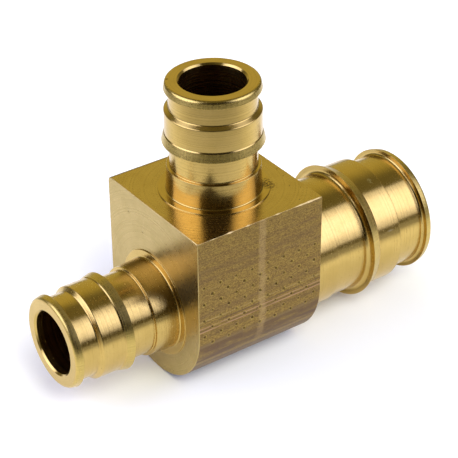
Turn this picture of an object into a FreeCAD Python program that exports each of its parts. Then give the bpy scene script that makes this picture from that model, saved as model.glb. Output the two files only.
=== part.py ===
import FreeCAD, Part
import math
import os
import Sketcher

# Reducing tee for expanded plastic pipe, turned and drilled from one length of
# round-bottomed brass bar. All sizes are in millimetres.
# The origin is where the run axis (X) crosses the branch axis (Z). The large insert
# points along +X, the small run insert along -X and the branch insert along +Z.

SIZES = {
    # The bar: flat sides, a flat top and a full half-round bottom about the run axis
    "bar_width": 25.0,
    "bar_edge_radius": 0.8,
    "top_face": 17.35,
    "left_face": 11.8,
    "right_face": 11.8,
    # Small insert, the same on the branch and on the left end: diameters
    "small_ring": 17.8,
    "small_boss_foot": 15.25,
    "small_boss_top": 14.85,
    "small_neck": 13.85,
    "small_barb": 16.2,
    "small_land": 15.24,
    "small_groove": 13.85,
    "small_nose": 15.2,
    "small_tip": 14.7,
    "small_bore": 10.4,
    # Small insert: lengths in order from the bar's face to the tip
    "small_ring_height": 0.2,
    "small_boss_length": 4.4,
    "small_neck_length": 4.35,
    "small_barb_length": 1.5,
    "small_land_length": 3.8,
    "small_ramp_length": 0.5,
    "small_groove_length": 3.1,
    "small_nose_length": 1.25,
    "small_corner_radius": 0.5,
    # Large insert: diameters
    "large_ring": 23.6,
    "large_boss_foot": 21.1,
    "large_boss_top": 20.75,
    "large_neck": 20.1,
    "large_barb": 23.1,
    "large_land": 21.24,
    "large_groove": 19.2,
    "large_nose": 21.2,
    "large_tip": 20.7,
    "large_bore": 15.8,
    # Large insert: lengths in order from the bar's face to the tip
    "large_ring_height": 0.2,
    "large_boss_length": 5.8,
    "large_neck_length": 6.4,
    "large_barb_length": 1.85,
    "large_land_length": 4.6,
    "large_ramp_length": 0.5,
    "large_groove_length": 5.15,
    "large_nose_length": 1.3,
    "large_corner_radius": 0.9,
    # Edges and drilling shared by the three inserts
    "land_edge_radius": 0.15,
    "tip_edge_radius": 0.35,
    "mouth_chamfer": 0.3,
    "large_bore_past_branch": 6.5,
    "drill_point_angle": 118.0,
}

# The stretches of an insert, from the bar's face to the tip
LENGTH_ORDER = ("boss", "neck", "barb", "land", "ramp", "groove", "nose")

# Each insert: where it points, which set of sizes it has and the bar face it stands on
INSERTS = (
    ("left", "small", "left_face"),
    ("branch", "small", "top_face"),
    ("right", "large", "right_face"),
)

# How near two places have to be to count as one
SAME = FreeCAD.Base.Precision.approximation()

doc = FreeCAD.newDocument("PipeTee")
sheet = doc.addObject("Spreadsheet::Sheet", "Sizes")
for row, (alias, size) in enumerate(SIZES.items(), start=1):
    sheet.set(f"A{row}", alias)
    sheet.set(f"B{row}", str(size))
    sheet.setAlias(f"B{row}", alias)
doc.recompute()

body = doc.addObject("PartDesign::Body", "TeeBody")
body.Label = "tee_body"


# Sketches and features

def new_sketch(name, role):
    planes = body.Origin.OriginFeatures
    plane = next(item for item in planes if item.Role == role)
    sketch = body.newObject("Sketcher::SketchObject", name)
    sketch.AttachmentSupport = [(plane, "")]
    sketch.MapMode = "FlatFace"
    return sketch


def draw_polygon(sketch, points):
    count = len(points)
    for index, point in enumerate(points):
        sketch.addGeometry(Part.LineSegment(point, points[(index + 1) % count]), False)
    for index in range(count):
        sketch.addConstraint(Sketcher.Constraint("Coincident", index, 2, (index + 1) % count, 1))


def bind(sketch, constraint, expression):
    row = sketch.addConstraint(constraint)
    sketch.setExpression(f"Constraints[{row}]", expression)


def add_feature(kind, name, sketch, settings):
    """Adds a sketched feature and checks that it adds or removes material as it should."""
    before = body.Shape.Volume if body.Tip else 0.0
    feature = body.newObject("PartDesign::" + kind, name)
    feature.Profile = sketch
    settings(feature)
    doc.recompute()
    change = feature.Shape.Volume - before
    if change * (-1 if kind == "Groove" else 1) <= 0:
        raise RuntimeError(f"{name} changed the volume by {change:.3f} mm3")


def turn(kind, name, direction, sketch):
    def settings(feature):
        feature.ReferenceAxis = (sketch, ["V_Axis" if direction == "branch" else "H_Axis"])
        feature.Angle = 360.0

    add_feature(kind, name, sketch, settings)


def dress_edges(kind, name, chosen, setting, size_name):
    """Rounds or chamfers the edges that the test picks out of the body as it stands."""
    base = body.Tip
    edges = [f"Edge{n}" for n, edge in enumerate(base.Shape.Edges, start=1) if chosen(edge)]
    if not edges:
        raise RuntimeError(f"{name} found no edge")
    dressing = body.newObject("PartDesign::" + kind, name)
    dressing.Base = (base, edges)
    dressing.setExpression(setting, "Sizes." + size_name)
    doc.recompute()


# A place along an insert is a list of sizes to add up, from the crossing of the axes,
# and a place across it is one diameter. The same names give the number that a point
# starts from and the expression that binds it.

def along(names):
    return sum(SIZES[name] for name in names)


def along_expression(names):
    return " + ".join("Sizes." + name for name in names)


def stations(prefix, face):
    """The sizes that add up to the outer end of each stretch of an insert."""
    places = {"ring": [face, prefix + "_ring_height"]}
    names = [face]
    for stretch in LENGTH_ORDER:
        names = names + [f"{prefix}_{stretch}_length"]
        places[stretch] = names
    return places


def circle_at(direction, prefix, face, stretch, diameter):
    """Centre and radius of the circle where a stretch of an insert ends on a diameter."""
    distance = along(stations(prefix, face)[stretch])
    centre = {
        "left": FreeCAD.Vector(-distance, 0, 0),
        "right": FreeCAD.Vector(distance, 0, 0),
        "branch": FreeCAD.Vector(0, 0, distance),
    }[direction]
    return centre, SIZES[f"{prefix}_{diameter}"] / 2


def on_circles(circles):
    """A test for the edges that run round one of the given circles."""

    def chosen(edge):
        if not isinstance(edge.Curve, Part.Circle):
            return False
        return any(
            edge.Curve.Center.isEqual(centre, SAME) and abs(edge.Curve.Radius - radius) < SAME
            for centre, radius in circles
        )

    return chosen


def turned_sketch(name, direction, corners):
    """Half section on the XZ plane, with every corner bound to its own sizes."""
    sketch = new_sketch(name, "XZ_Plane")
    upright = direction == "branch"
    side = -1 if direction == "left" else 1
    points = []
    for names, diameter in corners:
        place = along(names)
        radius = SIZES[diameter] / 2 if diameter else 0
        point = (radius, place, 0) if upright else (side * place, radius, 0)
        points.append(FreeCAD.Vector(*point))
    draw_polygon(sketch, points)
    along_kind, across_kind = ("DistanceY", "DistanceX") if upright else ("DistanceX", "DistanceY")
    own_axis, cross_axis = (-2, -1) if upright else (-1, -2)
    for index, (names, diameter) in enumerate(corners):
        if names:
            ends = (index, 1, -1, 1) if direction == "left" else (-1, 1, index, 1)
            bind(sketch, Sketcher.Constraint(along_kind, *ends, along(names)), along_expression(names))
        else:
            sketch.addConstraint(Sketcher.Constraint("PointOnObject", index, 1, cross_axis))
        if diameter:
            radius = Sketcher.Constraint(across_kind, -1, 1, index, 1, SIZES[diameter] / 2)
            bind(sketch, radius, f"Sizes.{diameter} / 2")
        else:
            sketch.addConstraint(Sketcher.Constraint("PointOnObject", index, 1, own_axis))
    return sketch


# The bar

def make_bar():
    """Full half-round bottom, straight flanks and a flat top, padded between the end faces."""
    half = SIZES["bar_width"] / 2
    top = SIZES["top_face"]
    sketch = new_sketch("BarSection", "YZ_Plane")
    sketch.setExpression(".AttachmentOffset.Base.z", "-Sizes.left_face")
    round_bottom = Part.Circle(FreeCAD.Vector(0, 0, 0), FreeCAD.Vector(0, 0, 1), half)
    corners = [
        FreeCAD.Vector(half, 0, 0),
        FreeCAD.Vector(half, top, 0),
        FreeCAD.Vector(-half, top, 0),
        FreeCAD.Vector(-half, 0, 0),
    ]
    sketch.addGeometry(Part.ArcOfCircle(round_bottom, math.pi, 2 * math.pi), False)
    for first, second in zip(corners, corners[1:]):
        sketch.addGeometry(Part.LineSegment(first, second), False)
    arc, near_side, top_side, far_side = range(4)
    for rule in (
        Sketcher.Constraint("Coincident", arc, 3, -1, 1),
        Sketcher.Constraint("Coincident", arc, 2, near_side, 1),
        Sketcher.Constraint("Coincident", near_side, 2, top_side, 1),
        Sketcher.Constraint("Coincident", top_side, 2, far_side, 1),
        Sketcher.Constraint("Coincident", far_side, 2, arc, 1),
        Sketcher.Constraint("PointOnObject", arc, 1, -1),
        Sketcher.Constraint("PointOnObject", arc, 2, -1),
        Sketcher.Constraint("Vertical", near_side),
        Sketcher.Constraint("Vertical", far_side),
        Sketcher.Constraint("Horizontal", top_side),
    ):
        sketch.addConstraint(rule)
    bind(sketch, Sketcher.Constraint("Radius", arc, half), "Sizes.bar_width / 2")
    bind(sketch, Sketcher.Constraint("DistanceY", -1, 1, near_side, 2, top), "Sizes.top_face")

    def settings(pad):
        pad.setExpression("Length", "Sizes.left_face + Sizes.right_face")

    add_feature("Pad", "Bar", sketch, settings)


def on_far_top_edge(edge):
    """The long top edge on the +Y side, where the drawn bar's own corner is left."""
    middle = edge.CenterOfMass
    return middle.isEqual(FreeCAD.Vector(middle.x, SIZES["bar_width"] / 2, SIZES["top_face"]), SAME)


# The inserts

def insert_corners(prefix, face):
    """Half section from the crossing of the axes: ring, boss, neck, barb, land, groove, nose."""
    at = stations(prefix, face)
    return [
        ([], None),
        ([], prefix + "_ring"),
        (at["ring"], prefix + "_ring"),
        (at["ring"], prefix + "_boss_foot"),
        (at["boss"], prefix + "_boss_top"),
        (at["boss"], prefix + "_neck"),
        (at["neck"], prefix + "_neck"),
        (at["neck"], prefix + "_barb"),
        (at["barb"], prefix + "_land"),
        (at["land"], prefix + "_land"),
        (at["ramp"], prefix + "_groove"),
        (at["groove"], prefix + "_groove"),
        (at["groove"], prefix + "_nose"),
        (at["nose"], prefix + "_tip"),
        (at["nose"], None),
    ]


def make_inserts():
    for direction, prefix, face in INSERTS:
        name = direction.capitalize() + "Insert"
        sketch = turned_sketch(name + "Section", direction, insert_corners(prefix, face))
        turn("Revolution", name, direction, sketch)


def round_insert_corners():
    """The tool's radius at the foot of each barb's back wall, and the broken outer edges."""
    for size_set in ("small", "large"):
        feet = [
            circle_at(*insert, stretch, stretch)
            for insert in INSERTS
            if insert[1] == size_set
            for stretch in ("neck", "groove")
        ]
        name = size_set.capitalize() + "BarbFeet"
        dress_edges("Fillet", name, on_circles(feet), "Radius", size_set + "_corner_radius")
    land_ends = [circle_at(*insert, "land", "land") for insert in INSERTS]
    dress_edges("Fillet", "LandEdges", on_circles(land_ends), "Radius", "land_edge_radius")
    tips = [circle_at(*insert, "nose", "tip") for insert in INSERTS]
    dress_edges("Fillet", "TipEdges", on_circles(tips), "Radius", "tip_edge_radius")


# The waterways

def large_bore_sketch():
    """The large bore goes past the branch and ends in the cone that its drill leaves."""
    radius = SIZES["large_bore"] / 2
    past = SIZES["large_bore_past_branch"]
    half_angle = math.radians(SIZES["drill_point_angle"] / 2)
    tip_names = stations("large", "right_face")["nose"]
    tip = along(tip_names)
    sketch = new_sketch("RightBoreSection", "XZ_Plane")
    apex = FreeCAD.Vector(-past - radius / math.tan(half_angle), 0, 0)
    shoulder = FreeCAD.Vector(-past, radius, 0)
    rim = FreeCAD.Vector(tip, radius, 0)
    centre = FreeCAD.Vector(tip, 0, 0)
    draw_polygon(sketch, [apex, shoulder, rim, centre])
    cone, wall, mouth, axis = range(4)
    for rule in (
        Sketcher.Constraint("PointOnObject", cone, 1, -1),
        Sketcher.Constraint("PointOnObject", axis, 1, -1),
        Sketcher.Constraint("Horizontal", wall),
        Sketcher.Constraint("Vertical", mouth),
    ):
        sketch.addConstraint(rule)
    bind(sketch, Sketcher.Constraint("DistanceX", -1, 1, mouth, 2, tip), along_expression(tip_names))
    bind(sketch, Sketcher.Constraint("DistanceY", -1, 1, wall, 1, radius), "Sizes.large_bore / 2")
    bind(sketch, Sketcher.Constraint("DistanceX", wall, 1, -1, 1, past), "Sizes.large_bore_past_branch")
    bind(sketch, Sketcher.Constraint("Angle", cone, half_angle), "Sizes.drill_point_angle / 2 * 1 deg")
    return sketch


def make_bores():
    """The two small bores start inside the large one, at the run axis and at the branch axis."""
    for direction, prefix, face in INSERTS:
        name = direction.capitalize() + "Bore"
        if prefix == "large":
            sketch = large_bore_sketch()
        else:
            bore = prefix + "_bore"
            tip = stations(prefix, face)["nose"]
            corners = [([], None), ([], bore), (tip, bore), (tip, None)]
            sketch = turned_sketch(name + "Section", direction, corners)
        turn("Groove", name, direction, sketch)
    mouths = [circle_at(*insert, "nose", "bore") for insert in INSERTS]
    dress_edges("Chamfer", "MouthChamfers", on_circles(mouths), "Size", "mouth_chamfer")


make_bar()
dress_edges("Fillet", "BarEdge", on_far_top_edge, "Radius", "bar_edge_radius")
make_inserts()
round_insert_corners()
make_bores()

for item in doc.Objects:
    if "Invalid" in item.State or "Error" in item.State:
        raise RuntimeError(f"{item.Name} failed: {item.State}")
shape = body.Shape
if shape.isNull() or not shape.isValid() or len(shape.Solids) != 1:
    raise RuntimeError("the tee is not one valid solid")

os.makedirs("parts", exist_ok=True)
shape.exportStep(f"parts/{body.Label}.step")
print(f"{body.Label}: volume {shape.Volume:.1f} mm3, area {shape.Area:.1f} mm2")
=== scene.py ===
"""Dresses the brass pipe tee: one turned and drawn piece, its floor, lamps and camera."""

import math
import random

import bmesh
import bpy
from mathutils import Matrix, Vector, noise
from mathutils.geometry import delaunay_2d_cdt


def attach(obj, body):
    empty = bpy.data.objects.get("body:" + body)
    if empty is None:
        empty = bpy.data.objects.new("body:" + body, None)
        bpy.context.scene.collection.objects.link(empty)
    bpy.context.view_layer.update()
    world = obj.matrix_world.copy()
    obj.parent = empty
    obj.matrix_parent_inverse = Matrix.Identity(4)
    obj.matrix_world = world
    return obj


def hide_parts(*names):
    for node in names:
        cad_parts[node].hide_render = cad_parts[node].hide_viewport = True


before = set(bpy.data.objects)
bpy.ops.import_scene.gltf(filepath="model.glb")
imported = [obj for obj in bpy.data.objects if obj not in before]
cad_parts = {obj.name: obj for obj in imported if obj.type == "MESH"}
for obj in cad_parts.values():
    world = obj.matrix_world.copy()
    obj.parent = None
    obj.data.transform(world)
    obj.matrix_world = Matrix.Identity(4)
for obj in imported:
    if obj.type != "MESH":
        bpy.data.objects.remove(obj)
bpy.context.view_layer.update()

draws = random.Random(11)
MILLIMETRE = 0.001

# Sizes of the tee in millimetres, as in the CAD
HALF_WIDTH = 12.5
TOP = 17.35
END = 11.8
TOP_EDGE = 0.8
BORE_SMALL = 5.2
BORE_LARGE = 7.9
BORE_END = 6.5
DRILL_HALF_ANGLE = math.radians(59)

# Half sections from the bar's face outwards: distance from the face, radius, corner radius.
# The large insert has the same corners in the same order
SMALL_INSERT = (
    (0.0, 8.9, 0.04),  # the ring's foot
    (0.2, 8.9, 0.12),  # its edge
    (0.2, 7.625, 0.2),  # the boss, from its foot
    (4.4, 7.425, 0.09),  # to its top
    (4.4, 6.925, 0.14),  # the neck
    (8.75, 6.925, 0.5),
    (8.75, 8.1, 0.04),  # the barb's square back
    (10.15, 7.74, 0.03),  # the end of its slope
    (10.33, 7.62, 0.08),  # the land
    (14.05, 7.62, 0.15),
    (14.55, 6.925, 0.2),  # the groove
    (17.65, 6.925, 0.5),
    (17.65, 7.6, 0.05),  # the nose
    (18.9, 7.35, 0.55),  # the tip's outer edge
    (18.9, 5.5, 0.05),  # the chamfer of the mouth
    (18.6, 5.2, 0.05),
)
LARGE_INSERT = (
    (0.0, 11.8, 0.04),
    (0.2, 11.8, 0.12),
    (0.2, 10.55, 0.2),
    (5.8, 10.375, 0.09),
    (5.8, 10.05, 0.14),
    (12.2, 10.05, 0.9),
    (12.2, 11.55, 0.05),
    (13.95, 10.74, 0.03),
    (14.13, 10.62, 0.08),
    (18.65, 10.62, 0.15),
    (19.15, 9.6, 0.3),
    (24.3, 9.6, 0.9),
    (24.3, 10.6, 0.05),
    (25.6, 10.35, 0.55),
    (25.6, 8.2, 0.05),
    (25.3, 7.9, 0.05),
)

# Stretches of the inserts that are cones: distances from the face
SMALL_CONES = ((8.75, 10.15), (17.65, 18.9))
LARGE_CONES = ((12.2, 13.95), (24.3, 25.6))
CONE_MARGIN = 0.03
CONE_LEAST_RADIUS = 6.0

# The bar's broken edges, the fillet at the rings' feet and the part of a bore behind its mouth
BREAK = 0.09
RING_FOOT = 0.05
MOUTH_DEPTH = 1.0

# How finely the turned surfaces are cut
SEGMENTS = 144
ARC_STEP = math.radians(16)
CORNER_ROOM = 0.45
RUN_CUT = 1.2
BORE_CUT = 2.0
BRANCH_BORE_PARTS = 16
DRILL_CONE_PARTS = 4
SADDLE_HALF = 20
SADDLE_STEPS = 12
SADDLE_MARGIN = 0.35

# Faces filled only between their loops, and how near two places count as one: there in
# millimetres, in the finished mesh in metres
INSIDE_LOOPS = 1
SAME_PLACE = 1e-6
WELD_DISTANCE = 2e-6
SHORTEST_EDGE = 1e-7

# How finely the bar is cut, in millimetres
FIRST_LINE = 0.3
END_CUT = 0.4
NEAR_SIDE_CUT = 0.8
ROUND_CUT = 0.66
FAR_SIDE_CUT = 2.4
FAR_EDGE_CUT = 0.2
SHELF_CUT = 1.5

# Surfaces by name, in the order of the piece's materials
MATERIALS = ("run", "branch", "top", "ends", "drawn", "bore", "branch_bore")
BORES = ("bore", "branch_bore")
PLANED = ("top", "ends", "drawn")
SHARP_IN_BORE = 28
SHARP_ON_BAR = 38


# The mesh: vertices in millimetres, faces with the index of their material

vertices = []
# Each vertex's share of painted shade, for the dents and pits
hollow_shade = []
cones = []
faces = []


def add_vertex(point, shade_share=0.0, on_cone=0.0):
    vertices.append(tuple(point))
    hollow_shade.append(shade_share)
    cones.append(on_cone)
    return len(vertices) - 1


def add_face(corners, material):
    if len(set(corners)) > 2:
        faces.append((tuple(corners), MATERIALS.index(material)))


def stitch(first, second, material, closed=False):
    """Quads between two rows of the same length."""
    count = len(first)
    for k in range(count if closed else count - 1):
        after = (k + 1) % count
        add_face((first[k], first[after], second[after], second[k]), material)


def stitch_all(rows, material, closed=False):
    for first, second in zip(rows, rows[1:]):
        stitch(first, second, material, closed)


def hollow(rings, middle, material):
    """Closed rings, each inside the one before, and a fan from the last to the middle."""
    stitch_all(rings, material, closed=True)
    last = rings[-1]
    for k, corner in enumerate(last):
        add_face((corner, last[(k + 1) % len(last)], middle), material)


# Turned surfaces

TURNS = [2 * math.pi * k / SEGMENTS for k in range(SEGMENTS)]


def rounded(corners):
    """The half section with every corner turned into a short arc."""
    points = [Vector(corners[0][:2])]
    for before, corner, after in zip(corners, corners[1:], corners[2:]):
        here = Vector(corner[:2])
        back = Vector(before[:2]) - here
        onward = Vector(after[:2]) - here
        half = back.angle(onward) / 2
        room = CORNER_ROOM * min(back.length, onward.length)
        reach = min(corner[2] / math.tan(half), room)
        radius = reach * math.tan(half)
        back.normalize()
        onward.normalize()
        centre = here + (back + onward).normalized() * (radius / math.sin(half))
        start = here + back * reach - centre
        sweep = math.pi - 2 * half
        if back.x * onward.y - back.y * onward.x > 0:
            sweep = -sweep
        steps = max(2, math.ceil(abs(sweep) / ARC_STEP))
        for k in range(steps + 1):
            turned = Matrix.Rotation(sweep * k / steps, 2) @ start
            points.append(centre + turned)
    points.append(Vector(corners[-1][:2]))
    return points


def with_runs_cut(points):
    """Cuts long runs, with a short piece at each of their ends."""
    cut = [points[0]]
    for first, second in zip(points, points[1:]):
        length = (second - first).length
        if length > 4 * BREAK:
            count = max(1, math.ceil((length - 2 * BREAK) / RUN_CUT))
            for k in range(count + 1):
                share = (BREAK + (length - 2 * BREAK) * k / count) / length
                cut.append(first.lerp(second, share))
        cut.append(second)
    return cut


def round_point(direction, along, radius, angle):
    across, up = radius * math.cos(angle), radius * math.sin(angle)
    if direction == "left":
        return (-along, across, up)
    if direction == "right":
        return (along, across, up)
    return (across, up, along)


def ring(direction, along, radius, on_cone):
    places = [round_point(direction, along, radius, angle) for angle in TURNS]
    return [add_vertex(place, 0.0, on_cone) for place in places]


def turn(direction, points, material, face=0.0, stretches=()):
    """Turns a half section round its axis. The stretches are its cones."""
    rings = []
    for point in points:
        along = point.x - face
        inside = any(low + CONE_MARGIN < along < high - CONE_MARGIN for low, high in stretches)
        on_cone = inside and point.y > CONE_LEAST_RADIUS
        rings.append(ring(direction, point.x, point.y, 1.0 if on_cone else 0.0))
    stitch_all(rings, material, closed=True)


def insert(direction, face, half_section, stretches, material):
    """The outside of an insert, from its ring's foot into its mouth."""
    foot = half_section[0]
    corners = [(face + foot[0], foot[1] + RING_FOOT, 0.0)]
    corners += [(face + along, radius, corner) for along, radius, corner in half_section]
    mouth = corners[-1]
    corners.append((mouth[0] - MOUTH_DEPTH, mouth[1], 0.0))
    turn(direction, with_runs_cut(rounded(corners)), material, face, stretches)


def run_bore(direction, half_section, end):
    """A bore along the run, from an insert's mouth to the end of its straight part."""
    along, radius, _ = half_section[-1]
    start = END + along - MOUTH_DEPTH
    steps = max(2, math.ceil((start - end) / BORE_CUT))
    places = [start + (end - start) * k / steps for k in range(steps + 1)]
    turn(direction, [Vector((place, radius)) for place in places], "bore")


# Where the branch's bore breaks into the large one

TURN_STEP = 2 * math.pi / SEGMENTS


def saddle_point(x, angle):
    return (x, BORE_LARGE * math.cos(angle), BORE_LARGE * math.sin(angle))


def unrolled(points):
    return [(x, angle * BORE_LARGE) for x, angle in points]


def saddle():
    """The large bore under the branch, with the branch's hole in it. Gives the hole's heights."""
    quarter = SEGMENTS // 4
    low, high = quarter - SADDLE_HALF, quarter + SADDLE_HALF
    places = [-BORE_END + 2 * BORE_END * k / SADDLE_STEPS for k in range(SADDLE_STEPS + 1)]
    below = [k % SEGMENTS for k in range(high, low + SEGMENTS + 1)]
    rows = [[add_vertex(saddle_point(x, k * TURN_STEP)) for k in below] for x in places]
    stitch_all(rows, "bore")

    outline = [(x, low * TURN_STEP) for x in places]
    outline += [(BORE_END, k * TURN_STEP) for k in range(low + 1, high + 1)]
    outline += [(x, high * TURN_STEP) for x in reversed(places[:-1])]
    outline += [(-BORE_END, k * TURN_STEP) for k in range(high - 1, low, -1)]
    hole = []
    heights = []
    for k in range(SEGMENTS):
        x = BORE_SMALL * math.cos(k * TURN_STEP)
        y = BORE_SMALL * math.sin(k * TURN_STEP)
        z = math.sqrt(BORE_LARGE ** 2 - y ** 2)
        hole.append((x, math.atan2(z, y)))
        heights.append(z)
    between = []
    for x in places[1:-1]:
        for k in range(low + 2, high - 1, 2):
            y = BORE_LARGE * math.cos(k * TURN_STEP)
            if math.hypot(x, y) > BORE_SMALL + SADDLE_MARGIN:
                between.append((x, k * TURN_STEP))

    def place(x, around):
        return saddle_point(x, around / BORE_LARGE)

    fill(unrolled(outline), [unrolled(hole)], unrolled(between), place, "bore")
    return heights


def branch_bore(heights):
    """The branch's bore, from its mouth down to the rim of its hole."""
    start = TOP + SMALL_INSERT[-1][0] - MOUTH_DEPTH
    rows = []
    for step in range(BRANCH_BORE_PARTS + 1):
        row = []
        for k, rim in enumerate(heights):
            height = start + (rim - start) * (step / BRANCH_BORE_PARTS)
            row.append(add_vertex(round_point("branch", height, BORE_SMALL, k * TURN_STEP)))
        rows.append(row)
    stitch_all(rows, "branch_bore", closed=True)


# Flat faces

def fill(outline, holes, extra, place, material):
    """Triangles in a plane between an outline and the holes in it."""
    points = []
    edges = []
    loop_of = []
    for number, loop in enumerate([outline] + holes):
        first = len(points)
        count = len(loop)
        points.extend(Vector(point) for point in loop)
        edges.extend((first + k, first + (k + 1) % count) for k in range(count))
        loop_of.extend([number] * count)
    points.extend(Vector(point) for point in extra)
    loop_of.extend([0] * len(extra))
    flat, _, triangles, origins, _, _ = delaunay_2d_cdt(points, edges, [], INSIDE_LOOPS, SAME_PLACE)
    made = [add_vertex(place(*point)) for point in flat]
    loops = [loop_of[source[0]] if source else 0 for source in origins]
    for corners in triangles:
        numbers = {loops[k] for k in corners}
        if len(numbers) > 1 or numbers == {0}:
            add_face([made[k] for k in corners], material)


def circle(radius):
    return [(radius * math.cos(angle), radius * math.sin(angle)) for angle in TURNS]


# A dent's rings: share of its size, share of its depth, which is also their share of painted shade
DENT_RINGS = ((1.0, 0.0), (0.8, 0.12), (0.55, 0.75), (0.3, 1.0))
DENT_PARTS = 12


class Dent:
    """A small hollow: an oval rim, and rings inside it that go down."""

    def __init__(self, centre, half_length, half_width, lean, depth):
        self.centre = Vector(centre)
        self.size = (half_length, half_width)
        self.turn = Matrix.Rotation(math.radians(lean), 2)
        self.depth = depth

    def loop(self, share):
        points = []
        for k in range(DENT_PARTS):
            angle = 2 * math.pi * k / DENT_PARTS
            offset = Vector((self.size[0] * math.cos(angle), self.size[1] * math.sin(angle)))
            points.append(tuple(self.centre + self.turn @ (offset * share)))
        return points

    def build(self, place, material):
        """place takes the two flat coordinates and a depth. Deeper vertices get more painted shade.
        """
        rings = []
        for share, down in DENT_RINGS:
            places = [place(x, y, self.depth * down) for x, y in self.loop(share)]
            rings.append([add_vertex(point, down) for point in places])
        middle = add_vertex(place(self.centre.x, self.centre.y, self.depth), 1.0)
        hollow(rings, middle, material)


# Dents: centre on the face, half length, half width, lean in degrees, depth
LEFT_DENTS = (
    Dent((6.75, 13.54), 0.3, 0.12, 35, 0.05),
    Dent((2.83, 11.65), 0.34, 0.12, 20, 0.05),
    Dent((-3.9, 12.9), 0.18, 0.1, -30, 0.03),
)
TOP_DENTS = (
    Dent((10.6, -3.9), 0.16, 0.1, 20, 0.04),
    Dent((9.6, -6.9), 0.13, 0.1, 60, 0.04),
    Dent((8.35, -11.1), 0.15, 0.1, 0, 0.04),
    Dent((10.7, -8.3), 0.12, 0.09, 0, 0.03),
    Dent((11.1, -1.6), 0.14, 0.1, 80, 0.04),
)


def flat_face(outline, hole, dents, place, material):
    """A flat face with a round hole at its middle, and its dents."""
    holes = [circle(hole)] + [dent.loop(1.0) for dent in dents]
    fill(outline, holes, [], lambda x, y: place(x, y, 0.0), material)
    for dent in dents:
        dent.build(place, material)


# The bar: its sides and round bottom are one sheet, x along it and t down from the near top edge

ROUND_START = TOP
ROUND_END = TOP + math.pi * HALF_WIDTH
FAR_END = ROUND_END + TOP - TOP_EDGE
SHEET_END = FAR_END + TOP_EDGE * math.pi / 2

# Knocks in the near top edge: place, half width, how much wider they leave it
KNOCKS = (
    (-8.9, 0.4, 0.06),
    (-5.75, 0.5, 0.17),
    (-2.4, 0.3, 0.14),
    (3.15, 0.35, 0.13),
    (7.5, 0.7, 0.12),
    (9.4, 1.2, 0.18),
    (11.1, 0.5, 0.12),
)

# The near edge elsewhere: its share of the usual break, its unevenness, its least width,
# and the length over which it widens to the usual break at the bar's ends
NEAR_EDGE_SHARE = 0.25
NEAR_EDGE_UNEVEN = 0.02
NEAR_EDGE_LEAST = 0.02
NEAR_EDGE_FADE = 0.5

# The drawn surface's shallow streaks: their depth, and how soon they fade at the sheet's edges
STREAK_DEPTH = 0.006
STREAK_FADE = 1.0

# Pits in the near side: columns along X and rows down from the near top edge
PIT_FIRST = (-10.75, 8.3)
PIT_STEP = (1.515, 1.52)
PIT_COLUMNS = 15
PIT_ROWS = 8
PIT_DEPTH = 0.2
PIT_RADIUS = 0.31
CELL_PARTS = 4

# How much the pits differ: shares of their depth and radius, and how far they stray
PIT_DEPTH_SHARES = (0.55, 1.1)
PIT_RADIUS_SHARES = (0.85, 1.12)
PIT_STRAY_X = 0.06
PIT_STRAY_T = 0.05

# A pit's rings: share of its radius, share of its depth, share of painted shade
PIT_RINGS = (
    (1.3, 0.0, 0.0),
    (1.08, 0.02, 0.12),
    (0.85, 0.3, 0.22),
    (0.6, 0.85, 0.42),
    (0.25, 1.0, 0.5),
)
PIT_MIDDLE_SHADE = 0.5


def section(t, depth=0.0):
    """The (y, z) place on the bar's section, at a depth under its surface."""
    if t <= ROUND_START:
        return (-HALF_WIDTH + depth, TOP - t)
    if t <= ROUND_END:
        angle = (t - ROUND_START) / HALF_WIDTH
        radius = HALF_WIDTH - depth
        return (-radius * math.cos(angle), -radius * math.sin(angle))
    if t <= FAR_END:
        return (HALF_WIDTH - depth, t - ROUND_END)
    angle = (t - FAR_END) / TOP_EDGE
    radius = TOP_EDGE - depth
    return (
        HALF_WIDTH - TOP_EDGE + radius * math.cos(angle),
        TOP - TOP_EDGE + radius * math.sin(angle),
    )


def waviness(x, t):
    """The drawn surface isn't quite even: shallow streaks along the bar."""
    streak = noise.noise(Vector((x * 0.04, t * 1.3, 2.0)))
    edge = min(END - abs(x), t, SHEET_END - t)
    return STREAK_DEPTH * (1 + streak) * max(0.0, min(1.0, edge / STREAK_FADE))


def sheet_point(x, t, depth=0.0):
    y, z = section(t, depth + waviness(x, t))
    return (x, y, z)


def near_edge_break(x):
    """How far the near top edge is broken: knocks leave it wider in a few places."""
    width = BREAK * NEAR_EDGE_SHARE
    for place, half, extra in KNOCKS:
        width += extra * math.exp(-(((x - place) / half) ** 2))
    width += NEAR_EDGE_UNEVEN * noise.noise(Vector((x * 2.3, 4.0, 0.0)))
    ends = min(1.0, (END - BREAK - abs(x)) / NEAR_EDGE_FADE)
    return BREAK + (max(width, NEAR_EDGE_LEAST) - BREAK) * max(0.0, ends)


def evenly(start, end, longest):
    count = max(1, math.ceil(abs(end - start) / longest))
    return [start + (end - start) * k / count for k in range(count + 1)]


def cell_lines(first, step, count):
    """Lines that leave every pit in the middle of a cell of its own."""
    start = first - step / 2
    width = step / CELL_PARTS
    return [start + width * k for k in range(count * CELL_PARTS + 1)]


def sheet_lines():
    """The sheet's lines in x and in t, and the column and row where the pits' cells start."""
    columns = cell_lines(PIT_FIRST[0], PIT_STEP[0], PIT_COLUMNS)
    rows = cell_lines(PIT_FIRST[1], PIT_STEP[1], PIT_ROWS)
    left = evenly(-END + BREAK, columns[0], END_CUT)
    right = evenly(columns[-1], END - BREAK, END_CUT)
    xs = left[:-1] + columns + right[1:]
    ts = [0.0] + evenly(FIRST_LINE, rows[0], NEAR_SIDE_CUT)[:-1] + rows
    ts += evenly(rows[-1], ROUND_END, ROUND_CUT)[1:]
    ts += evenly(ROUND_END, FAR_END, FAR_SIDE_CUT)[1:]
    ts += evenly(FAR_END, SHEET_END, FAR_EDGE_CUT)[1:]
    return xs, ts, len(left) - 1, ts.index(rows[0])


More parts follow.
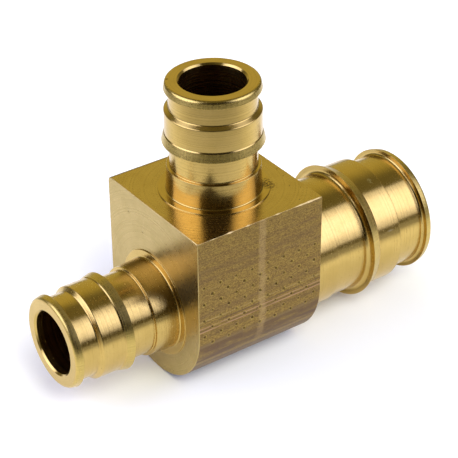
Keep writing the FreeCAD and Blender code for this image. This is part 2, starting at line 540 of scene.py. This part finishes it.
def pit_cells(first_column, first_row):
    """Every other cell has a pit: its centre, by the row and column of its first corner."""
    cells = {}
    for i in range(PIT_COLUMNS):
        for j in range(PIT_ROWS):
            if (i + j) % 2 == 0:
                corner = (first_row + j * CELL_PARTS, first_column + i * CELL_PARTS)
                cells[corner] = (PIT_FIRST[0] + PIT_STEP[0] * i, PIT_FIRST[1] + PIT_STEP[1] * j)
    return cells


def cell_rim(grid, row, column):
    """The grid's vertices round one cell."""
    far_row, far_column = row + CELL_PARTS, column + CELL_PARTS
    rim = [grid[row][column + k] for k in range(CELL_PARTS)]
    rim += [grid[row + k][far_column] for k in range(CELL_PARTS)]
    rim += [grid[far_row][far_column - k] for k in range(CELL_PARTS)]
    rim += [grid[far_row - k][column] for k in range(CELL_PARTS)]
    return rim


def rim_angles():
    """The directions from a cell's middle to the vertices round it."""
    angles = []
    for k in range(4 * CELL_PARTS):
        side, step = divmod(k, CELL_PARTS)
        share = 2 * step / CELL_PARTS - 1
        spot = ((share, -1), (1, share), (-share, 1), (-1, -share))[side]
        angles.append(math.atan2(spot[1], spot[0]))
    return angles


def pit(rim, centre):
    """One punched pit: a flat collar, a soft lip and the hollow."""
    deep = PIT_DEPTH * draws.uniform(*PIT_DEPTH_SHARES)
    wide = PIT_RADIUS * draws.uniform(*PIT_RADIUS_SHARES)
    x = centre[0] + draws.uniform(-PIT_STRAY_X, PIT_STRAY_X)
    t = centre[1] + draws.uniform(-PIT_STRAY_T, PIT_STRAY_T)
    rings = [rim]
    for share, down, shade_share in PIT_RINGS:
        reach = wide * share
        ring_places = []
        for angle in rim_angles():
            place = (x + reach * math.cos(angle), t + reach * math.sin(angle))
            ring_places.append(sheet_point(*place, deep * down))
        rings.append([add_vertex(place, shade_share) for place in ring_places])
    middle = add_vertex(sheet_point(x, t, deep), PIT_MIDDLE_SHADE)
    hollow(rings, middle, "drawn")


def end_face(side, hole, dents, edge, ts, shelf_ys):
    """An end of the bar with its broken edge. The edge is the sheet's last line of vertices."""
    face = side * END

    def place(y, z, deep):
        return (face - side * deep, y, z)

    outline = [section(BREAK if t == 0.0 else t, BREAK) for t in ts]
    inset = [add_vertex((face, y, z)) for y, z in outline]
    stitch(edge, inset, "ends")
    shelf = [(y, TOP - BREAK) for y in shelf_ys]
    upper = [add_vertex((face, y, z)) for y, z in shelf]
    lower = [add_vertex((side * (END - BREAK), y, TOP)) for y in shelf_ys]
    stitch(upper, lower, "ends")
    add_face((edge[0], inset[0], lower[0]), "ends")
    outline += reversed(shelf[1:-1])
    flat_face(outline, hole, dents, place, "ends")


def bar():
    xs, ts, first_column, first_row = sheet_lines()
    grid = [[add_vertex((x, -HALF_WIDTH, TOP - near_edge_break(x))) for x in xs]]
    grid += [[add_vertex(sheet_point(x, t)) for x in xs] for t in ts[1:]]
    pits = pit_cells(first_column, first_row)
    covered = set()
    for row, column in pits:
        for down in range(CELL_PARTS):
            covered.update((row + down, column + along) for along in range(CELL_PARTS))
    for row, (first, second) in enumerate(zip(grid, grid[1:])):
        for column in range(len(xs) - 1):
            if (row, column) not in covered:
                after = column + 1
                corners = (first[column], first[after], second[after], second[column])
                add_face(corners, "drawn")
    for (row, column), centre in pits.items():
        pit(cell_rim(grid, row, column), centre)

    near_ys = [-HALF_WIDTH + near_edge_break(x) for x in xs]
    top_near = [add_vertex((x, y, TOP)) for x, y in zip(xs, near_ys)]
    stitch(grid[0], top_near, "ends")
    shelf_ys = evenly(-HALF_WIDTH + BREAK, HALF_WIDTH - TOP_EDGE, SHELF_CUT)
    outline = list(zip(xs, near_ys))
    outline += [(END - BREAK, y) for y in shelf_ys[1:]]
    outline += [(x, HALF_WIDTH - TOP_EDGE) for x in reversed(xs[:-1])]
    outline += [(-END + BREAK, y) for y in reversed(shelf_ys[1:-1])]
    small_foot = SMALL_INSERT[0][1] + RING_FOOT
    large_foot = LARGE_INSERT[0][1] + RING_FOOT
    flat_face(outline, small_foot, TOP_DENTS, lambda x, y, deep: (x, y, TOP - deep), "top")
    end_face(-1, small_foot, LEFT_DENTS, [line[0] for line in grid], ts, shelf_ys)
    end_face(1, large_foot, (), [line[-1] for line in grid], ts, shelf_ys)


# The piece

def lay_surfaces():
    """All surfaces of the tee, each meeting its neighbours at vertices in the same places."""
    cone_length = (BORE_LARGE - BORE_SMALL) / math.tan(DRILL_HALF_ANGLE)
    wide_end = Vector((-BORE_END, BORE_LARGE))
    narrow_end = Vector((-BORE_END - cone_length, BORE_SMALL))
    shares = [k / DRILL_CONE_PARTS for k in range(DRILL_CONE_PARTS + 1)]
    turn("right", [wide_end.lerp(narrow_end, share) for share in shares], "bore")
    branch_bore(saddle())
    insert("left", END, SMALL_INSERT, SMALL_CONES, "run")
    run_bore("left", SMALL_INSERT, BORE_END + cone_length)
    insert("right", END, LARGE_INSERT, LARGE_CONES, "run")
    run_bore("right", LARGE_INSERT, BORE_END)
    insert("branch", TOP, SMALL_INSERT, SMALL_CONES, "branch")
    bar()


def join_surfaces():
    """One closed mesh from the surfaces, welded where they meet."""
    work = bmesh.new()
    # Each vertex's share of painted shade, kept in a layer
    shade_layer = work.verts.layers.float.new("hollow_shade")
    conical = work.verts.layers.float.new("cone")
    made = []
    for point, shade_share, on_cone in zip(vertices, hollow_shade, cones):
        vertex = work.verts.new(Vector(point) * MILLIMETRE)
        vertex[shade_layer] = shade_share
        vertex[conical] = on_cone
        made.append(vertex)
    for corners, material in faces:
        face = work.faces.new([made[k] for k in corners])
        face.material_index = material
        face.smooth = True
    bmesh.ops.remove_doubles(work, verts=work.verts, dist=WELD_DISTANCE)
    bmesh.ops.dissolve_degenerate(work, edges=work.edges, dist=SHORTEST_EDGE)
    bmesh.ops.recalc_face_normals(work, faces=work.faces)
    return work


def mark_sharp_edges(work):
    """Edges inside the bores and on the bar are sharp. Those of the inserts have their arcs."""
    bores = [MATERIALS.index(name) for name in BORES]
    planed = [MATERIALS.index(name) for name in PLANED]
    for edge in work.edges:
        sides = [face.material_index for face in edge.link_faces]
        in_bore = all(side in bores for side in sides)
        on_bar = all(side in planed for side in sides)
        limit = math.radians(SHARP_IN_BORE if in_bore else SHARP_ON_BAR)
        if (in_bore or on_bar) and len(sides) == 2 and edge.calc_face_angle() > limit:
            edge.smooth = False


def build_tee():
    lay_surfaces()
    work = join_surfaces()
    mark_sharp_edges(work)
    mesh = bpy.data.meshes.new("tee_brass")
    work.to_mesh(mesh)
    work.free()
    tee = bpy.data.objects.new("tee_brass", mesh)
    bpy.context.scene.collection.objects.link(tee)
    weigh = tee.modifiers.new("even_normals", "WEIGHTED_NORMAL")
    weigh.keep_sharp = True
    return tee


# Materials

NUMBER_ANSWERS = ("DOT_PRODUCT", "LENGTH", "DISTANCE")


class Nodes:
    """Adds nodes to one tree and joins their sockets."""

    def __init__(self, tree):
        self.tree = tree
        tree.nodes.clear()

    def add(self, kind, inputs=None, **settings):
        node = self.tree.nodes.new(kind)
        for name, value in settings.items():
            setattr(node, name, value)
        for key, value in (inputs or {}).items():
            if isinstance(value, bpy.types.NodeSocket):
                self.tree.links.new(value, node.inputs[key])
            else:
                node.inputs[key].default_value = value
        return node

    def math(self, operation, *values):
        node = self.add("ShaderNodeMath", dict(enumerate(values)), operation=operation)
        return node.outputs[0]

    def product(self, first, *others):
        for other in others:
            first = self.math("MULTIPLY", first, other)
        return first

    def vector(self, operation, *values):
        """Vector arithmetic. Some operations answer with a number, the others with a vector."""
        node = self.add("ShaderNodeVectorMath", dict(enumerate(values)), operation=operation)
        return node.outputs[1 if operation in NUMBER_ANSWERS else 0]

    def mix(self, share, first, second):
        """Colours mixed. A plain colour is given by its red, green and blue."""
        inputs = {0: share, 6: first, 7: second}
        for key in (6, 7):
            if isinstance(inputs[key], tuple):
                inputs[key] = inputs[key] + (1.0,)
        return self.add("ShaderNodeMix", inputs, data_type="RGBA").outputs[2]

    def ramp(self, value, low, high, to_low=0.0, to_high=1.0):
        node = self.add(
            "ShaderNodeMapRange",
            {0: value, 1: low, 2: high, 3: to_low, 4: to_high},
            interpolation_type="SMOOTHSTEP",
        )
        return node.outputs[0]

    def noise(self, vector, scale, detail=2.0, roughness=0.5):
        return self.add(
            "ShaderNodeTexNoise",
            {"Vector": vector, "Scale": scale, "Detail": detail, "Roughness": roughness},
        ).outputs[0]

    def lines(self, value, scale, detail=2.0):
        """Noise along one coordinate only."""
        return self.add(
            "ShaderNodeTexNoise",
            {"W": value, "Scale": scale, "Detail": detail},
            noise_dimensions="1D",
        ).outputs[0]

    def attribute(self, name):
        return self.add("ShaderNodeAttribute", attribute_name=name).outputs["Fac"]

    def bump(self, strength, distance, height):
        """Bump of a height that is given in distances of millimetres."""
        inputs = {"Strength": strength, "Distance": distance * MILLIMETRE, "Height": height}
        return self.add("ShaderNodeBump", inputs).outputs[0]


# Tones of the brass as red, green and blue: the main one, a stained one and the tool lines'
BRIGHT = ((0.58, 0.405, 0.12), (0.54, 0.375, 0.105), (0.46, 0.32, 0.08))
TOP_TONES = ((0.6, 0.43, 0.15), (0.55, 0.39, 0.13), (0.34, 0.23, 0.07))
END_TONES = ((0.49, 0.365, 0.14), (0.45, 0.335, 0.12), (0.38, 0.28, 0.09))

# The rubbed cones, the bores, and the painted shade in the dents and pits
CONE_TONES = ((0.51, 0.37, 0.1), (0.6, 0.44, 0.12))
BORE_TONES = ((0.46, 0.29, 0.06), (0.36, 0.19, 0.05))
HOLLOW_SHADE_TONE = (0.06, 0.035, 0.008)

# The drawn side: its speckle from dark to light, then what lies over it
SPECKLE_TONES = ((0.17, 0.1, 0.032), (0.43, 0.29, 0.07))
GOLD_TONE = (0.4, 0.29, 0.07)
STREAK_TONE = (0.22, 0.13, 0.055)
HAIR_TONE = (0.46, 0.33, 0.13)
SCORE_TONE = (0.17, 0.1, 0.045)
DARK_BAND_TONE = (0.14, 0.08, 0.05)
STRIPE_TONE = (0.54, 0.38, 0.16)
# Painted shade on the bar's underside, where it faces the floor
UNDERSIDE_SHADE_TONE = (0.15, 0.1, 0.085)
# A painted glint on the pits' lips
PIT_GLINT_TONE = (0.62, 0.45, 0.1)

# Dark bands of the drawn side: distance down from the edge, half width, softness, strength. Those
# past 17.35, on the round bottom, are painted reflections of the floor and the tee's shadow on it
DARK_BANDS = (
    (3.3, 0.2, 0.5, 0.12),
    (5.6, 0.4, 0.6, 0.3),
    (7.1, 0.2, 0.4, 0.3),
    (13.2, 0.3, 0.8, 0.25),
    (15.13, 0.07, 0.12, 0.65),
    (16.1, 0.08, 0.1, 0.55),
    (17.2, 0.2, 0.5, 0.3),
    (20.4, 1.1, 0.9, 0.7),
    (22.4, 0.5, 0.4, 0.8),
    (25.2, 0.9, 0.6, 0.6),
)

# Bright scratches of the drawn side: the same, and their tone. Those past 17.35, on the round
# bottom, are painted reflections of the floor
BRIGHT_BANDS = (
    (14.43, 0.05, 0.1, 0.6, (0.5, 0.36, 0.13)),
    (15.72, 0.05, 0.09, 0.75, (0.5, 0.3, 0.17)),
    (16.38, 0.05, 0.09, 0.75, (0.52, 0.31, 0.18)),
    (19.3, 0.1, 0.3, 0.35, (0.36, 0.26, 0.1)),
    (23.5, 0.12, 0.2, 0.35, (0.33, 0.23, 0.13)),
)

# Marks of use: middle, half lengths, whether it is broken up, tone
RUN_MARKS = (
    ((28.75, -3.8, 9.9), (0.55, 0.9, 0.5), True, (0.9, 0.75, 0.45)),
    ((28.4, -10.0, 3.5), (0.75, 0.3, 0.16), False, (0.8, 0.65, 0.35)),
)
BRANCH_MARKS = (
    ((6.9, -4.5, 17.55), (1.7, 2.4, 1.0), True, (0.1, 0.055, 0.015)),
    ((-5.66, 4.07, 36.25), (0.3, 0.3, 0.3), False, (0.16, 0.09, 0.02)),
)


def brass_tree(name):
    """A new material, its nodes, and the place on the tee in millimetres, whole and in parts."""
    material = bpy.data.materials.new(name)
    material.use_nodes = True
    nodes = Nodes(material.node_tree)
    coordinates = nodes.add("ShaderNodeTexCoord").outputs["Object"]
    place = nodes.add(
        "ShaderNodeVectorMath", {"Vector": coordinates, "Scale": 1 / MILLIMETRE}, operation="SCALE"
    ).outputs[0]
    parts = nodes.add("ShaderNodeSeparateXYZ", {0: place}).outputs
    return material, nodes, place, parts


def close_material(nodes, base, roughness, bump, **more):
    inputs = {"Base Color": base, "Roughness": roughness, "Metallic": 1.0, "Normal": bump}
    shader = nodes.add("ShaderNodeBsdfPrincipled", {**inputs, **more})
    nodes.add("ShaderNodeOutputMaterial", {0: shader.outputs[0]})


# Painted shade in the dents and pits: darker the deeper a vertex lies
def with_hollow_shade(nodes, base):
    share = nodes.ramp(nodes.attribute("hollow_shade"), 0.05, 0.9, 0.0, 0.8)
    return nodes.mix(share, base, HOLLOW_SHADE_TONE)


def patch(nodes, place, centre, halves):
    """1 at a place on the tee, 0 past an oval around it, in millimetres."""
    offset = nodes.vector("DIVIDE", nodes.vector("SUBTRACT", place, centre), halves)
    return nodes.ramp(nodes.vector("LENGTH", offset), 0.4, 1.0, 1.0, 0.0)


def band(nodes, value, middle, half, soft):
    """1 within half of the middle, falling to 0 over soft."""
    away = nodes.math("ABSOLUTE", nodes.math("SUBTRACT", value, middle))
    return nodes.ramp(away, half, half + soft, 1.0, 0.0)


def with_marks(nodes, base, place, marks):
    for centre, halves, broken, tone in marks:
        share = patch(nodes, place, centre, halves)
        if broken:
            grains = nodes.noise(place, 3.6, 2.0, 0.6)
            share = nodes.product(share, nodes.ramp(grains, 0.45, 0.55))
        base = nodes.mix(share, base, tone)
    return base


def turned_brass(name, axis, tones, roughness, line_bump=0.25, spots=0.25, marks=()):
    """Turned brass: tool lines round the axis, blur across them, faint stains."""
    material, nodes, place, parts = brass_tree(name)
    axial = parts["XYZ".index(axis)]
    others = [part for letter, part in zip("XYZ", parts) if letter != axis]
    squares = [nodes.product(part, part) for part in others]
    radial = nodes.math("SQRT", nodes.math("ADD", *squares))
    across = nodes.math("ADD", axial, radial)
    fine = nodes.lines(across, 4.0, 3.0)
    broad = nodes.lines(across, 0.9, 2.0)
    stain = nodes.noise(place, 0.35, 3.0)
    speck = nodes.noise(place, 2.6, 3.0, 0.6)
    base = nodes.mix(nodes.ramp(stain, 0.35, 0.7), tones[0], tones[1])
    base = nodes.mix(nodes.ramp(fine, 0.45, 0.75, 0.0, 0.35), base, tones[2])
    base = nodes.mix(nodes.ramp(speck, 0.62, 0.8, 0.0, spots), base, tones[2])

    # The cones are rubbed across, by a hatch that runs with their slope
    conical = nodes.ramp(nodes.attribute("cone"), 0.4, 0.6)
    around = nodes.product(nodes.math("ARCTAN2", *others), 9.0)
    hatch = nodes.lines(around, 3.2, 3.0)
    rubbed = nodes.mix(nodes.ramp(hatch, 0.35, 0.65), *CONE_TONES)
    base = nodes.mix(conical, base, rubbed)
    base = with_marks(nodes, base, place, marks)
    # Painted shade in the dents of the faces
    base = with_hollow_shade(nodes, base)

    rough = nodes.ramp(fine, 0.3, 0.7, roughness - 0.03, roughness + 0.05)
    rough = nodes.math("ADD", rough, nodes.ramp(speck, 0.35, 0.75, -0.02, 0.05))
    rough = nodes.math("ADD", rough, nodes.product(conical, 0.1))
    height = nodes.math("ADD", fine, nodes.product(broad, 1.5))
    height = nodes.math("ADD", height, nodes.product(hatch, conical, 0.5))
    direction = tuple(1.0 if letter == axis else 0.0 for letter in "XYZ")
    tangent = nodes.vector("NORMALIZE", nodes.vector("CROSS_PRODUCT", direction, place))
    settings = {
        "Anisotropic": nodes.ramp(conical, 0.0, 1.0, 0.6, 0.42),
        "Anisotropic Rotation": 0.25,
        "Tangent": tangent,
    }
    close_material(nodes, base, rough, nodes.bump(line_bump, 0.02, height), **settings)
    return material


def drawn_brass():
    """The drawn bar: dull and brown, speckled, with streaks, scratches and one pale stripe, with
    painted reflections of the floor on its round bottom, painted shade underneath and in its pits,
    and painted glints on the pits' lips.
    """
    material, nodes, place, (x, y, z) = brass_tree("brass_drawn")
    below = nodes.product(z, -1.0 / HALF_WIDTH)
    below = nodes.add("ShaderNodeClamp", {0: below}).outputs[0]
    around = nodes.product(nodes.math("ARCSINE", below), HALF_WIDTH)
    down = nodes.math("SUBTRACT", around, nodes.math("MAXIMUM", z, 0.0))
    down = nodes.math("ADD", down, TOP)
    near = nodes.ramp(y, -0.5, 0.5, 1.0, 0.0)

    def stretched(share):
        """The place, drawn out along the bar for streaks."""
        return nodes.vector("MULTIPLY", place, (share, 1.0, 1.0))

    speckle = nodes.noise(stretched(0.5), 7.5, 3.0, 0.75)
    gold = nodes.noise(stretched(0.35), 1.6, 3.0, 0.6)
    streaks = nodes.noise(stretched(0.03), 1.5, 4.0, 0.6)
    hair = nodes.noise(stretched(0.015), 5.0, 2.0, 0.5)
    scores = nodes.noise(stretched(0.04), 7.0, 3.0, 0.6)
    grain = nodes.noise(place, 7.0, 3.0, 0.6)
    base = nodes.mix(nodes.ramp(speckle, 0.38, 0.63), *SPECKLE_TONES)
    base = nodes.mix(nodes.ramp(gold, 0.46, 0.68, 0.0, 0.35), base, GOLD_TONE)
    base = nodes.mix(nodes.ramp(streaks, 0.52, 0.7, 0.0, 0.35), base, STREAK_TONE)
    base = nodes.mix(nodes.ramp(hair, 0.6, 0.75, 0.0, 0.3), base, HAIR_TONE)
    base = nodes.mix(nodes.ramp(scores, 0.5, 0.68, 0.0, 0.4), base, SCORE_TONE)

    # Bands and scratches along the near side, a little wavy and broken; on the round bottom they
    # are painted reflections of the floor
    waver = nodes.math("SUBTRACT", nodes.noise(stretched(0.2), 0.5, 2.0), 0.5)
    level = nodes.math("ADD", down, nodes.product(waver, 0.25))
    fade = nodes.ramp(nodes.noise(stretched(0.25), 0.8, 2.0), 0.3, 0.55, 0.25, 1.0)
    bands = [(*dark, DARK_BAND_TONE) for dark in DARK_BANDS]
    for middle, half, soft, strength, tone in (*bands, *BRIGHT_BANDS):
        share = nodes.product(band(nodes, level, middle, half, soft), fade, near, strength)
        base = nodes.mix(share, base, tone)

    # The pale stripe down the near side, painted shade on the underside and a painted glint on the
    # pits' lips
    side = nodes.math("ADD", x, nodes.product(waver, 1.1))
    stripe = nodes.product(band(nodes, side, 0.25, 0.3, 0.6), near)
    stripe = nodes.product(stripe, nodes.ramp(down, 18.0, 24.0, 1.0, 0.25))
    stripe = nodes.product(stripe, nodes.ramp(speckle, 0.3, 0.62, 0.15, 0.55))
    base = nodes.mix(stripe, base, STRIPE_TONE)
    # Painted shade: darker towards the bottom, where the bar faces the floor
    base = nodes.mix(nodes.ramp(z, -12.0, -5.0, 0.9, 0.0), base, UNDERSIDE_SHADE_TONE)
    shade_share = nodes.attribute("hollow_shade")
    # A painted glint on the pits' lips, where the painted shade is slight
    lip = nodes.product(nodes.ramp(shade_share, 0.02, 0.1), nodes.ramp(shade_share, 0.2, 0.4, 0.4, 0.0))
    base = nodes.mix(lip, base, PIT_GLINT_TONE)
    # Painted shade in the pits
    base = with_hollow_shade(nodes, base)

    rough = nodes.ramp(speckle, 0.3, 0.7, 0.42, 0.55)
    height = nodes.math("ADD", grain, nodes.product(streaks, 0.7))
    height = nodes.math("ADD", height, nodes.product(speckle, 0.8))
    close_material(nodes, base, rough, nodes.bump(0.5, 0.04, height))
    return material


def bore_brass(name, axis, roughness):
    """The waterways: drilled brass, darker, with faint rings."""
    material, nodes, place, parts = brass_tree(name)
    stain = nodes.noise(place, 0.6, 3.0)
    rings = nodes.lines(parts["XYZ".index(axis)], 3.0, 3.0)
    base = nodes.mix(nodes.ramp(stain, 0.3, 0.7), *BORE_TONES)
    rough = nodes.ramp(rings, 0.3, 0.7, roughness, roughness + 0.1)
    close_material(nodes, base, rough, nodes.bump(0.3, 0.04, rings))
    return material


tee = build_tee()
looks = {
    "run": turned_brass("brass_turned_run", "X", BRIGHT, 0.2, marks=RUN_MARKS),
    "branch": turned_brass("brass_turned_branch", "Z", BRIGHT, 0.17, marks=BRANCH_MARKS),
    "top": turned_brass("brass_top_face", "Z", TOP_TONES, 0.22, 0.3, 0.7, BRANCH_MARKS),
    "ends": turned_brass("brass_end_faces", "X", END_TONES, 0.3, 0.3),
    "drawn": drawn_brass(),
    "bore": bore_brass("brass_run_bore", "X", 0.16),
    "branch_bore": bore_brass("brass_branch_bore", "Z", 0.22),
}
for surface in MATERIALS:
    tee.data.materials.append(looks[surface])
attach(tee, "root")
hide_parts("tee_body")


# Floor: a painted pool of light under the tee, painted dark past it. Sizes are in metres

FLOOR_RADIUS = 0.62
FLOOR_SEGMENTS = 96
FLOOR_GAP = 0.00002
# The floor's tone past the painted pool of light, then within it
FLOOR_TONES = ((0.3, 0.3, 0.29), (0.87, 0.88, 0.85))

# The painted pool of light is an oval: its directions, its middle and its half length in each
# direction
AWAY = Vector((0.5767, 0.817, 0.0))
ASIDE = Vector((0.817, -0.5767, 0.0))
LIT_POOL_MIDDLE = AWAY * 0.07
LIT_POOL_HALVES = ((AWAY, 0.123), (ASIDE, 0.105))

# The floor's own light: less of it in front of the tee, where its shadow lies
FLOOR_GLOW = 0.24
FRONT_GLOW = 0.05


def floor_material():
    material = bpy.data.materials.new("pale_floor")
    material.use_nodes = True
    nodes = Nodes(material.node_tree)
    place = nodes.add("ShaderNodeTexCoord").outputs["Object"]
    offset = nodes.vector("SUBTRACT", place, tuple(LIT_POOL_MIDDLE))
    squares = []
    for axis, half in LIT_POOL_HALVES:
        along = nodes.vector("DOT_PRODUCT", offset, tuple(axis / half))
        squares.append(nodes.product(along, along))
    far = nodes.math("SQRT", nodes.math("ADD", *squares))
    # The painted pool of light: pale near the tee, dark further out
    lit_pool = nodes.ramp(far, 0.85, 1.4, 1.0, 0.0)
    tone = nodes.mix(lit_pool, *FLOOR_TONES)
    dull = nodes.add("ShaderNodeBsdfDiffuse", {"Color": tone}).outputs[0]

    path = nodes.add("ShaderNodeLightPath").outputs
    seen = nodes.math("MAXIMUM", path["Is Camera Ray"], path["Is Glossy Ray"])
    seen = nodes.math("MAXIMUM", seen, path["Is Transmission Ray"])
    spot = nodes.add("ShaderNodeSeparateXYZ", {0: place}).outputs
    behind = nodes.ramp(spot[1], -0.002, 0.02)
    beside = nodes.ramp(nodes.math("ABSOLUTE", spot[0]), 0.03, 0.05)
    outer = nodes.math("MAXIMUM", behind, beside)
    strength = nodes.product(seen, lit_pool, nodes.ramp(outer, 0.0, 1.0, FRONT_GLOW, FLOOR_GLOW))
    white = {"Color": (1.0, 1.0, 1.0, 1.0), "Strength": strength}
    glow = nodes.add("ShaderNodeEmission", white).outputs[0]
    both = nodes.add("ShaderNodeAddShader", {0: dull, 1: glow}).outputs[0]
    nodes.add("ShaderNodeOutputMaterial", {0: both})
    return material


def make_floor():
    mesh = bpy.data.meshes.new("floor")
    work = bmesh.new()
    bmesh.ops.create_circle(work, cap_ends=True, segments=FLOOR_SEGMENTS, radius=FLOOR_RADIUS)
    work.to_mesh(mesh)
    work.free()
    mesh.materials.append(floor_material())
    floor = bpy.data.objects.new("floor", mesh)
    floor.location = (0.0, 0.0, -HALF_WIDTH * MILLIMETRE - FLOOR_GAP)
    bpy.context.scene.collection.objects.link(floor)


make_floor()


# Lamps and world. Azimuths run from the front to the right, in degrees

COOL = (0.97, 1.01, 1.6)
WARM = (1.0, 1.0, 0.9)
LIT_PLACE = Vector((0.003, 0.0, 0.01))
LOW_SKY = (0.17, 0.15, 0.08)
HIGH_SKY = (0.2, 0.18, 0.09)

# Wide lobes of the sky: azimuth, elevation, inner and outer radius in degrees, tone
SKY_LOBES = (
    (150, 16, 14, 50, (0.66, 0.57, 0.2)),
    (-18, 25, 22, 58, (0.03, 0.025, 0.015)),
)


def direction_of(azimuth, elevation):
    a, e = math.radians(azimuth), math.radians(elevation)
    return Vector((math.sin(a) * math.cos(e), -math.cos(a) * math.cos(e), math.sin(e)))


def soft_lamp(name, place, width, height, radiance, tint, edge=0.45, mirrored=True):
    """An oval soft lamp that faces the tee. Its face is brightest in the middle.

    The place is its azimuth, elevation and distance.
    """
    azimuth, elevation, distance = place
    lamp = bpy.data.lights.new(name, "AREA")
    lamp.shape = "ELLIPSE"
    lamp.size = width
    lamp.size_y = height
    lamp.energy = radiance * math.pi * math.pi * width * height / 4
    lamp.color = tint
    lamp.use_nodes = True
    nodes = Nodes(lamp.node_tree)
    face = nodes.add("ShaderNodeNewGeometry").outputs["Parametric"]
    apart = nodes.vector("DISTANCE", face, (0.5, 0.5, 0.0))
    strength = nodes.ramp(apart, 0.15, 0.5, 1.0, edge)
    glow = nodes.add("ShaderNodeEmission", {"Strength": strength}).outputs[0]
    nodes.add("ShaderNodeOutputLight", {0: glow})
    holder = bpy.data.objects.new(name, lamp)
    towards = direction_of(azimuth, elevation)
    holder.location = LIT_PLACE + towards * distance
    holder.rotation_mode = "QUATERNION"
    holder.rotation_quaternion = towards.to_track_quat("Z", "Y")
    holder.visible_camera = False
    holder.visible_glossy = mirrored
    bpy.context.scene.collection.objects.link(holder)


def make_world():
    world = bpy.data.worlds.new("studio")
    bpy.context.scene.world = world
    world.use_nodes = True
    nodes = Nodes(world.node_tree)
    towards = nodes.add("ShaderNodeTexCoord").outputs["Generated"]
    height = nodes.add("ShaderNodeSeparateXYZ", {0: towards}).outputs[2]
    sky = nodes.mix(nodes.ramp(height, 0.05, 0.7), LOW_SKY, HIGH_SKY)
    for azimuth, elevation, inner, outer, tone in SKY_LOBES:
        middle = direction_of(azimuth, elevation)
        nearness = nodes.vector("DOT_PRODUCT", towards, tuple(middle))
        edges = [math.cos(math.radians(radius)) for radius in (outer, inner)]
        sky = nodes.mix(nodes.ramp(nearness, *edges), sky, tone)
    background = nodes.add("ShaderNodeBackground", {0: sky, 1: 1.0}).outputs[0]
    nodes.add("ShaderNodeOutputWorld", {0: background})


soft_lamp("lamp_right", (44, 33, 0.5), 0.56, 0.56, 2.4, COOL)
soft_lamp("lamp_left", (-108, 33, 0.5), 0.66, 0.56, 2.6, COOL, edge=0.75)
soft_lamp("lamp_front", (-8, 48, 1.2), 0.8, 0.8, 10.6, WARM, mirrored=False)
make_world()


# Camera, at the photograph's place: degrees, metres, and the lens in millimetres

CAMERA_AZIMUTH = -35.219
CAMERA_ELEVATION = 32.699
CAMERA_ROLL = -0.467
CAMERA_DISTANCE = 0.274955
CAMERA_LENS = 132.99
CAMERA_SENSOR = 36.0
AIM_RIGHT = 0.002275
AIM_UP = 0.007816


def make_camera():
    a, e = math.radians(CAMERA_AZIMUTH), math.radians(CAMERA_ELEVATION)
    roll = math.radians(CAMERA_ROLL)
    back = direction_of(CAMERA_AZIMUTH, CAMERA_ELEVATION)
    right = Vector((math.cos(a), math.sin(a), 0.0))
    up = Vector((-math.sin(a) * math.sin(e), math.cos(a) * math.sin(e), math.cos(e)))
    aim = right * AIM_RIGHT + up * AIM_UP
    rolled_right = right * math.cos(roll) + up * math.sin(roll)
    rolled_up = up * math.cos(roll) - right * math.sin(roll)
    camera = bpy.data.cameras.new("camera")
    camera.lens = CAMERA_LENS
    camera.sensor_width = CAMERA_SENSOR
    camera.clip_start = 0.01
    camera.clip_end = 10.0
    holder = bpy.data.objects.new("camera", camera)
    holder.rotation_mode = "QUATERNION"
    axes = Matrix((rolled_right, rolled_up, back)).transposed()
    holder.rotation_quaternion = axes.to_quaternion()
    holder.location = aim + back * CAMERA_DISTANCE
    bpy.context.scene.collection.objects.link(holder)
    bpy.context.scene.camera = holder


make_camera()
bpy.context.scene.view_settings.view_transform = "Standard"
